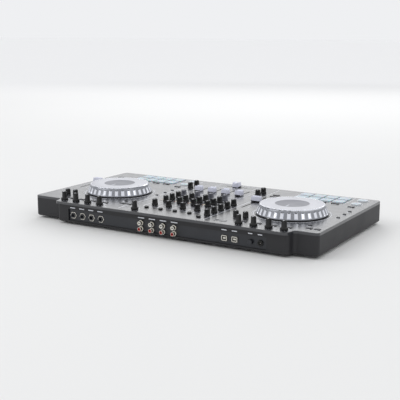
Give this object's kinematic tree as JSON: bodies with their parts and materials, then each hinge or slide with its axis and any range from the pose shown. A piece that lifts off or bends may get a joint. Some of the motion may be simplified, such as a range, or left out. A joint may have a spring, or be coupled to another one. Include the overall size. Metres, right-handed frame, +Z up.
{
  "type": "dj controller",
  "caption": "Wide flat mixing console: two decks with turning jog wheels, pads and tempo sliders, and a central mixer with rotary knobs, channel faders and a crossfader.",
  "frame": {"origin": "on the surface that the feet stand on, in the middle of the case", "axes": "+X to the performer's right, +Y to the rear, +Z up"},
  "size_m": [0.664, 0.357, 0.0704],
  "materials": {
    "moulded_black": "fine moulded grain",
    "panel_black": "sheet, painted satin black, with printed lines",
    "jog_grey": "satin dark grey with bright dimples",
    "jog_silver": "fine turned",
    "knob_black": "matte soft-touch",
    "fader_cap": "satin light grey",
    "pad_pale": "translucent pale",
    "button_pale": "satin pale",
    "button_dark": "satin",
    "rubber": "matte",
    "steel": "zinc plated",
    "socket_metal": "nickel plated",
    "board_green": "solder mask"
  },
  "bodies": {
    "case": {"lower_case": "moulded_black", "top_panel": "panel_black", "rear_sockets": "socket_metal", "socket_panels": "moulded_black", "rubber_feet": "rubber", "case_screws": "steel", "circuit_boards": "board_green", "rotary_pots": "steel", "fader_tracks": "steel", "jog_bearings": "moulded_black", "small_knobs": "knob_black"},
    "jog_left": {"jog_rim_left": "jog_grey", "jog_plate_left": "jog_silver"},
    "jog_right": {"jog_rim_right": "jog_grey", "jog_plate_right": "jog_silver"},
    "balance_knob": {"balance_knob": "knob_black"},
    "booth_knob": {"booth_knob": "knob_black"},
    "effect_knob_left_1": {"effect_knob_left_1": "knob_black"},
    "effect_knob_left_2": {"effect_knob_left_2": "knob_black"},
    "effect_knob_left_3": {"effect_knob_left_3": "knob_black"},
    "effect_knob_left_4": {"effect_knob_left_4": "knob_black"},
    "effect_knob_right_1": {"effect_knob_right_1": "knob_black"},
    "effect_knob_right_2": {"effect_knob_right_2": "knob_black"},
    "effect_knob_right_3": {"effect_knob_right_3": "knob_black"},
    "effect_knob_right_4": {"effect_knob_right_4": "knob_black"},
    "fader_start_knob": {"fader_start_knob": "knob_black"},
    "headphone_knob": {"headphone_knob": "knob_black"},
    "high_knob_1": {"high_knob_1": "knob_black"},
    "high_knob_2": {"high_knob_2": "knob_black"},
    "high_knob_3": {"high_knob_3": "knob_black"},
    "high_knob_4": {"high_knob_4": "knob_black"},
    "low_knob_1": {"low_knob_1": "knob_black"},
    "low_knob_2": {"low_knob_2": "knob_black"},
    "low_knob_3": {"low_knob_3": "knob_black"},
    "low_knob_4": {"low_knob_4": "knob_black"},
    "master_knob": {"master_knob": "knob_black"},
    "microphone_knob": {"microphone_knob": "knob_black"},
    "mid_knob_1": {"mid_knob_1": "knob_black"},
    "mid_knob_2": {"mid_knob_2": "knob_black"},
    "mid_knob_3": {"mid_knob_3": "knob_black"},
    "mid_knob_4": {"mid_knob_4": "knob_black"},
    "trim_knob_1": {"trim_knob_1": "knob_black"},
    "trim_knob_2": {"trim_knob_2": "knob_black"},
    "trim_knob_3": {"trim_knob_3": "knob_black"},
    "trim_knob_4": {"trim_knob_4": "knob_black"},
    "tempo_slider_left": {"tempo_slider_left": "fader_cap"},
    "tempo_slider_right": {"tempo_slider_right": "fader_cap"},
    "channel_fader_1": {"channel_fader_1": "fader_cap"},
    "channel_fader_2": {"channel_fader_2": "fader_cap"},
    "channel_fader_3": {"channel_fader_3": "fader_cap"},
    "channel_fader_4": {"channel_fader_4": "fader_cap"},
    "crossfader": {"crossfader": "fader_cap"},
    "pads_left": {"pads_left": "pad_pale"},
    "pads_right": {"pads_right": "pad_pale"},
    "play_cue_left": {"play_cue_left": "button_pale"},
    "play_cue_right": {"play_cue_right": "button_pale"},
    "deck_buttons_left": {"deck_buttons_left": "button_dark"},
    "deck_buttons_right": {"deck_buttons_right": "button_dark"},
    "mixer_buttons": {"mixer_buttons": "button_dark"},
    "power_button": {"power_button": "button_dark"}
  },
  "joints": [
    {"name": "jog_left_spin", "type": "hinge", "parent": "case", "child": "jog_left", "pos_m": [-0.224, 0.0314, 0.05955], "axis": [0, 0, 1], "continuous": true},
    {"name": "jog_right_spin", "type": "hinge", "parent": "case", "child": "jog_right", "pos_m": [0.195, 0.0314, 0.05955], "axis": [0, 0, 1], "continuous": true},
    {"name": "balance_knob_turn", "type": "hinge", "parent": "case", "child": "balance_knob", "pos_m": [-0.09, 0.0515, 0.05615], "axis": [0, 0, -1], "range_deg": [-150, 150]},
    {"name": "booth_knob_turn", "type": "hinge", "parent": "case", "child": "booth_knob", "pos_m": [-0.09, 0.025, 0.05615], "axis": [0, 0, -1], "range_deg": [-150, 150]},
    {"name": "effect_knob_left_1_turn", "type": "hinge", "parent": "case", "child": "effect_knob_left_1", "pos_m": [-0.268, 0.16, 0.05865], "axis": [0, 0, -1], "range_deg": [-150, 150]},
    {"name": "effect_knob_left_2_turn", "type": "hinge", "parent": "case", "child": "effect_knob_left_2", "pos_m": [-0.237, 0.16, 0.05865], "axis": [0, 0, -1], "range_deg": [-150, 150]},
    {"name": "effect_knob_left_3_turn", "type": "hinge", "parent": "case", "child": "effect_knob_left_3", "pos_m": [-0.206, 0.16, 0.05865], "axis": [0, 0, -1], "range_deg": [-150, 150]},
    {"name": "effect_knob_left_4_turn", "type": "hinge", "parent": "case", "child": "effect_knob_left_4", "pos_m": [-0.175, 0.16, 0.05865], "axis": [0, 0, -1], "range_deg": [-150, 150]},
    {"name": "effect_knob_right_1_turn", "type": "hinge", "parent": "case", "child": "effect_knob_right_1", "pos_m": [0.151, 0.16, 0.05865], "axis": [0, 0, -1], "range_deg": [-150, 150]},
    {"name": "effect_knob_right_2_turn", "type": "hinge", "parent": "case", "child": "effect_knob_right_2", "pos_m": [0.182, 0.16, 0.05865], "axis": [0, 0, -1], "range_deg": [-150, 150]},
    {"name": "effect_knob_right_3_turn", "type": "hinge", "parent": "case", "child": "effect_knob_right_3", "pos_m": [0.213, 0.16, 0.05865], "axis": [0, 0, -1], "range_deg": [-150, 150]},
    {"name": "effect_knob_right_4_turn", "type": "hinge", "parent": "case", "child": "effect_knob_right_4", "pos_m": [0.244, 0.16, 0.05865], "axis": [0, 0, -1], "range_deg": [-150, 150]},
    {"name": "fader_start_knob_turn", "type": "hinge", "parent": "case", "child": "fader_start_knob", "pos_m": [-0.09, 0.078, 0.05615], "axis": [0, 0, -1], "range_deg": [-150, 150]},
    {"name": "headphone_knob_turn", "type": "hinge", "parent": "case", "child": "headphone_knob", "pos_m": [-0.09, 0.1045, 0.05615], "axis": [0, 0, -1], "range_deg": [-150, 150]},
    {"name": "high_knob_1_turn", "type": "hinge", "parent": "case", "child": "high_knob_1", "pos_m": [-0.051, 0.063, 0.05615], "axis": [0, 0, -1], "range_deg": [-150, 150]},
    {"name": "high_knob_2_turn", "type": "hinge", "parent": "case", "child": "high_knob_2", "pos_m": [-0.017, 0.063, 0.05615], "axis": [0, 0, -1], "range_deg": [-150, 150]},
    {"name": "high_knob_3_turn", "type": "hinge", "parent": "case", "child": "high_knob_3", "pos_m": [0.017, 0.063, 0.05615], "axis": [0, 0, -1], "range_deg": [-150, 150]},
    {"name": "high_knob_4_turn", "type": "hinge", "parent": "case", "child": "high_knob_4", "pos_m": [0.051, 0.063, 0.05615], "axis": [0, 0, -1], "range_deg": [-150, 150]},
    {"name": "low_knob_1_turn", "type": "hinge", "parent": "case", "child": "low_knob_1", "pos_m": [-0.051, 0.015, 0.05615], "axis": [0, 0, -1], "range_deg": [-150, 150]},
    {"name": "low_knob_2_turn", "type": "hinge", "parent": "case", "child": "low_knob_2", "pos_m": [-0.017, 0.015, 0.05615], "axis": [0, 0, -1], "range_deg": [-150, 150]},
    {"name": "low_knob_3_turn", "type": "hinge", "parent": "case", "child": "low_knob_3", "pos_m": [0.017, 0.015, 0.05615], "axis": [0, 0, -1], "range_deg": [-150, 150]},
    {"name": "low_knob_4_turn", "type": "hinge", "parent": "case", "child": "low_knob_4", "pos_m": [0.051, 0.015, 0.05615], "axis": [0, 0, -1], "range_deg": [-150, 150]},
    {"name": "master_knob_turn", "type": "hinge", "parent": "case", "child": "master_knob", "pos_m": [-0.09, 0.131, 0.05615], "axis": [0, 0, -1], "range_deg": [-150, 150]},
    {"name": "microphone_knob_turn", "type": "hinge", "parent": "case", "child": "microphone_knob", "pos_m": [0.062, 0.16, 0.05865], "axis": [0, 0, -1], "range_deg": [-150, 150]},
    {"name": "mid_knob_1_turn", "type": "hinge", "parent": "case", "child": "mid_knob_1", "pos_m": [-0.051, 0.039, 0.05615], "axis": [0, 0, -1], "range_deg": [-150, 150]},
    {"name": "mid_knob_2_turn", "type": "hinge", "parent": "case", "child": "mid_knob_2", "pos_m": [-0.017, 0.039, 0.05615], "axis": [0, 0, -1], "range_deg": [-150, 150]},
    {"name": "mid_knob_3_turn", "type": "hinge", "parent": "case", "child": "mid_knob_3", "pos_m": [0.017, 0.039, 0.05615], "axis": [0, 0, -1], "range_deg": [-150, 150]},
    {"name": "mid_knob_4_turn", "type": "hinge", "parent": "case", "child": "mid_knob_4", "pos_m": [0.051, 0.039, 0.05615], "axis": [0, 0, -1], "range_deg": [-150, 150]},
    {"name": "trim_knob_1_turn", "type": "hinge", "parent": "case", "child": "trim_knob_1", "pos_m": [-0.051, 0.104, 0.05615], "axis": [0, 0, -1], "range_deg": [-150, 150]},
    {"name": "trim_knob_2_turn", "type": "hinge", "parent": "case", "child": "trim_knob_2", "pos_m": [-0.017, 0.104, 0.05615], "axis": [0, 0, -1], "range_deg": [-150, 150]},
    {"name": "trim_knob_3_turn", "type": "hinge", "parent": "case", "child": "trim_knob_3", "pos_m": [0.017, 0.104, 0.05615], "axis": [0, 0, -1], "range_deg": [-150, 150]},
    {"name": "trim_knob_4_turn", "type": "hinge", "parent": "case", "child": "trim_knob_4", "pos_m": [0.051, 0.104, 0.05615], "axis": [0, 0, -1], "range_deg": [-150, 150]},
    {"name": "tempo_slider_left_slide", "type": "slide", "parent": "case", "child": "tempo_slider_left", "axis": [0, 1, 0], "range_m": [-0.0406, 0.0594]},
    {"name": "tempo_slider_right_slide", "type": "slide", "parent": "case", "child": "tempo_slider_right", "axis": [0, 1, 0], "range_m": [-0.0406, 0.0594]},
    {"name": "channel_fader_1_slide", "type": "slide", "parent": "case", "child": "channel_fader_1", "axis": [0, 1, 0], "range_m": [-0.0435, 0.0165]},
    {"name": "channel_fader_2_slide", "type": "slide", "parent": "case", "child": "channel_fader_2", "axis": [0, 1, 0], "range_m": [-0.0435, 0.0165]},
    {"name": "channel_fader_3_slide", "type": "slide", "parent": "case", "child": "channel_fader_3", "axis": [0, 1, 0], "range_m": [-0.0435, 0.0165]},
    {"name": "channel_fader_4_slide", "type": "slide", "parent": "case", "child": "channel_fader_4", "axis": [0, 1, 0], "range_m": [-0.0435, 0.0165]},
    {"name": "crossfader_slide", "type": "slide", "parent": "case", "child": "crossfader", "axis": [1, 0, 0], "range_m": [-0.0225, 0.0225]},
    {"name": "pads_left_press", "type": "slide", "parent": "case", "child": "pads_left", "axis": [0, 0, -1], "range_m": [0, 0.001], "stiffness_N_per_m": 2400, "springref_m": -0.0006},
    {"name": "pads_right_press", "type": "slide", "parent": "case", "child": "pads_right", "axis": [0, 0, -1], "range_m": [0, 0.001], "stiffness_N_per_m": 2400, "springref_m": -0.0006},
    {"name": "play_cue_left_press", "type": "slide", "parent": "case", "child": "play_cue_left", "axis": [0, 0, -1], "range_m": [0, 0.001], "stiffness_N_per_m": 800, "springref_m": -0.0006},
    {"name": "play_cue_right_press", "type": "slide", "parent": "case", "child": "play_cue_right", "axis": [0, 0, -1], "range_m": [0, 0.001], "stiffness_N_per_m": 800, "springref_m": -0.0006},
    {"name": "deck_buttons_left_press", "type": "slide", "parent": "case", "child": "deck_buttons_left", "axis": [0, 0, -1], "range_m": [0, 0.0008], "stiffness_N_per_m": 1600, "springref_m": -0.0006},
    {"name": "deck_buttons_right_press", "type": "slide", "parent": "case", "child": "deck_buttons_right", "axis": [0, 0, -1], "range_m": [0, 0.0008], "stiffness_N_per_m": 1600, "springref_m": -0.0006},
    {"name": "mixer_buttons_press", "type": "slide", "parent": "case", "child": "mixer_buttons", "axis": [0, 0, -1], "range_m": [0, 0.001], "stiffness_N_per_m": 800, "springref_m": -0.0006},
    {"name": "power_button_press", "type": "slide", "parent": "case", "child": "power_button", "axis": [0, -1, 0], "range_m": [0, 0.002], "stiffness_N_per_m": 500, "springref_m": -0.0006}
  ]
}
